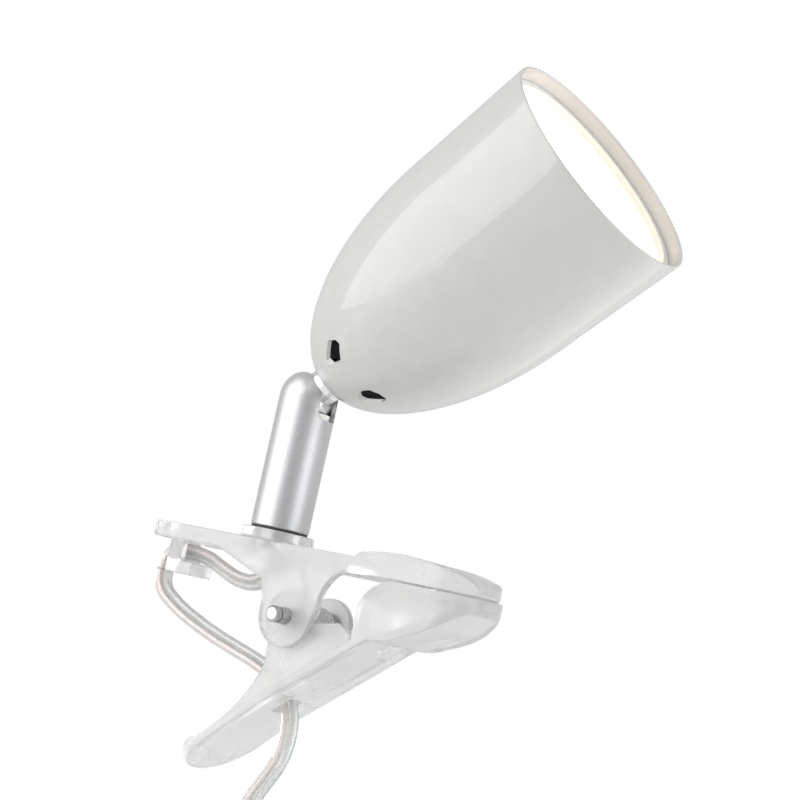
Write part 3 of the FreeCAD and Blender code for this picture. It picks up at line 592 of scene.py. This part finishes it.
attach(opal_disc, "head")

ring_white = plain_finish("ring_white", (0.86, 0.85, 0.81), (0.92, 0.91, 0.88), 0.3, 0, 300, 0.00004)
reflector_white = plain_finish("reflector_white", (0.88, 0.88, 0.87), (0.94, 0.94, 0.93), 0.2, 0, 300,
                               0.00004)
board_white = plain_finish("board_white", (0.80, 0.80, 0.78), (0.90, 0.90, 0.88), 0.5, 0, 700, 0.00004)
phosphor = plain_finish("phosphor", (0.80, 0.62, 0.16), (0.92, 0.78, 0.30), 0.4, 0, 2000, 0.00003)
cast_alloy = plain_finish("cast_alloy", (0.60, 0.61, 0.62), (0.76, 0.77, 0.78), 0.45, 1, 600, 0.0001)
black_pot = plain_finish("black_pot", (0.012, 0.012, 0.012), (0.03, 0.03, 0.03), 0.45, 0, 700, 0.00006)
board_green = plain_finish("board_green", (0.02, 0.14, 0.05), (0.05, 0.24, 0.10), 0.35, 0, 500, 0.00005)
wire_white = plain_finish("wire_white", (0.74, 0.73, 0.69), (0.84, 0.83, 0.79), 0.4, 0, 900, 0.00003)
coat_nodes(ring_white, "diffuser_ring")
coat_nodes(reflector_white, "reflector_cup")
coat_nodes(board_white, "led_board")
coat_nodes(phosphor, "led_chips")
coat_nodes(cast_alloy, "heat_sink")
coat_nodes(black_pot, "driver_housing")
coat_nodes(board_green, "driver_board")
coat_nodes(wire_white, "head_wires")

# ---- Studio
# Pale floor under the hanging plug, a surround that is white to the camera and dimmer behind it,
# and three soft boxes. The one under the shade is left out of glossy reflections.
floor_size, floor_gap = 1.0, 0.002
room_strength, behind_strength = 0.66, 0.42
bpy.context.scene.view_settings.view_transform = "Standard"
floor_mesh = bpy.data.meshes.new("floor")
floor_shape = bmesh.new()
bmesh.ops.create_grid(floor_shape, x_segments=1, y_segments=1, size=floor_size,
                      matrix=Matrix.Translation((0, 0, cad_box[0].z - floor_gap)))
floor_shape.to_mesh(floor_mesh)
floor_shape.free()
floor = bpy.data.objects.new("floor", floor_mesh)
bpy.context.scene.collection.objects.link(floor)
pale, nodes, links, bsdf = finish_material("pale_floor")
bsdf.inputs["Base Color"].default_value = (0.85, 0.85, 0.85, 1)
bsdf.inputs["Roughness"].default_value = 0.7
floor_mesh.materials.append(pale)

surround = bpy.data.worlds.new("surround")
bpy.context.scene.world = surround
surround.use_nodes = True
tree = surround.node_tree
backing = tree.nodes["Background"]
backing.inputs["Color"].default_value = (1, 1, 1, 1)
towards = tree.nodes.new("ShaderNodeTexCoord")
facing_us = tree.nodes.new("ShaderNodeVectorMath")
facing_us.operation = "DOT_PRODUCT"
facing_us.inputs[1].default_value = away
dim = tree.nodes.new("ShaderNodeMapRange")
dim.inputs["From Min"].default_value, dim.inputs["From Max"].default_value = 0.80, 0.97
dim.inputs["To Min"].default_value, dim.inputs["To Max"].default_value = room_strength, behind_strength
tree.links.new(towards.outputs["Generated"], facing_us.inputs[0])
tree.links.new(facing_us.outputs["Value"], dim.inputs["Value"])
tree.links.new(dim.outputs["Result"], backing.inputs["Strength"])
white = tree.nodes.new("ShaderNodeBackground")
white.inputs["Color"].default_value = (1, 1, 1, 1)
white.inputs["Strength"].default_value = 1.0
seen = tree.nodes.new("ShaderNodeLightPath")
either = tree.nodes.new("ShaderNodeMixShader")
tree.links.new(seen.outputs["Is Camera Ray"], either.inputs["Fac"])
tree.links.new(backing.outputs["Background"], either.inputs[1])
tree.links.new(white.outputs["Background"], either.inputs[2])
tree.links.new(either.outputs["Shader"], tree.nodes["World Output"].inputs["Surface"])


def soft_box(name, way, target, reach, along, wide, high, power):
    """A rectangular soft box reach away in the given direction, its width laid along the last direction."""
    light = bpy.data.lights.new(name, "AREA")
    light.shape, light.size, light.size_y, light.energy = "RECTANGLE", wide, high, power
    box = bpy.data.objects.new(name, light)
    facing = way.normalized()
    across = (along - facing * along.dot(facing)).normalized()
    turned_to = Matrix((across, facing.cross(across), facing)).transposed().to_4x4()
    box.matrix_world = Matrix.Translation(target + facing * reach) @ turned_to
    bpy.context.scene.collection.objects.link(box)
    return box


head_middle = ball_centre + Vector((0.05, 0, 0.04))
shade_way = (camera_right + camera_up).normalized()
upper_left = (camera_up - camera_right).normalized()
key_angle, side_angle, under_angle = math.radians(69), math.radians(56), math.radians(112)
key_power, side_power, under_power = 8.6, 2.6, 21.0
box_reach = 1.0
key_way = upper_left * math.sin(key_angle) + away * math.cos(key_angle) - shade_way * 0.25
soft_box("key_box", key_way, head_middle, box_reach, shade_way, 1.4, 1.3, key_power)
side_way = camera_right * math.sin(side_angle) + away * math.cos(side_angle)
soft_box("side_box", side_way, aim, box_reach, camera_right, 0.6, 1.2, side_power)
under_way = away * math.cos(under_angle) - upper_left * math.sin(under_angle)
under_box = soft_box("under_box", under_way, head_middle, box_reach, shade_way, 1.5, 1.5, under_power)
under_box.visible_glossy = False
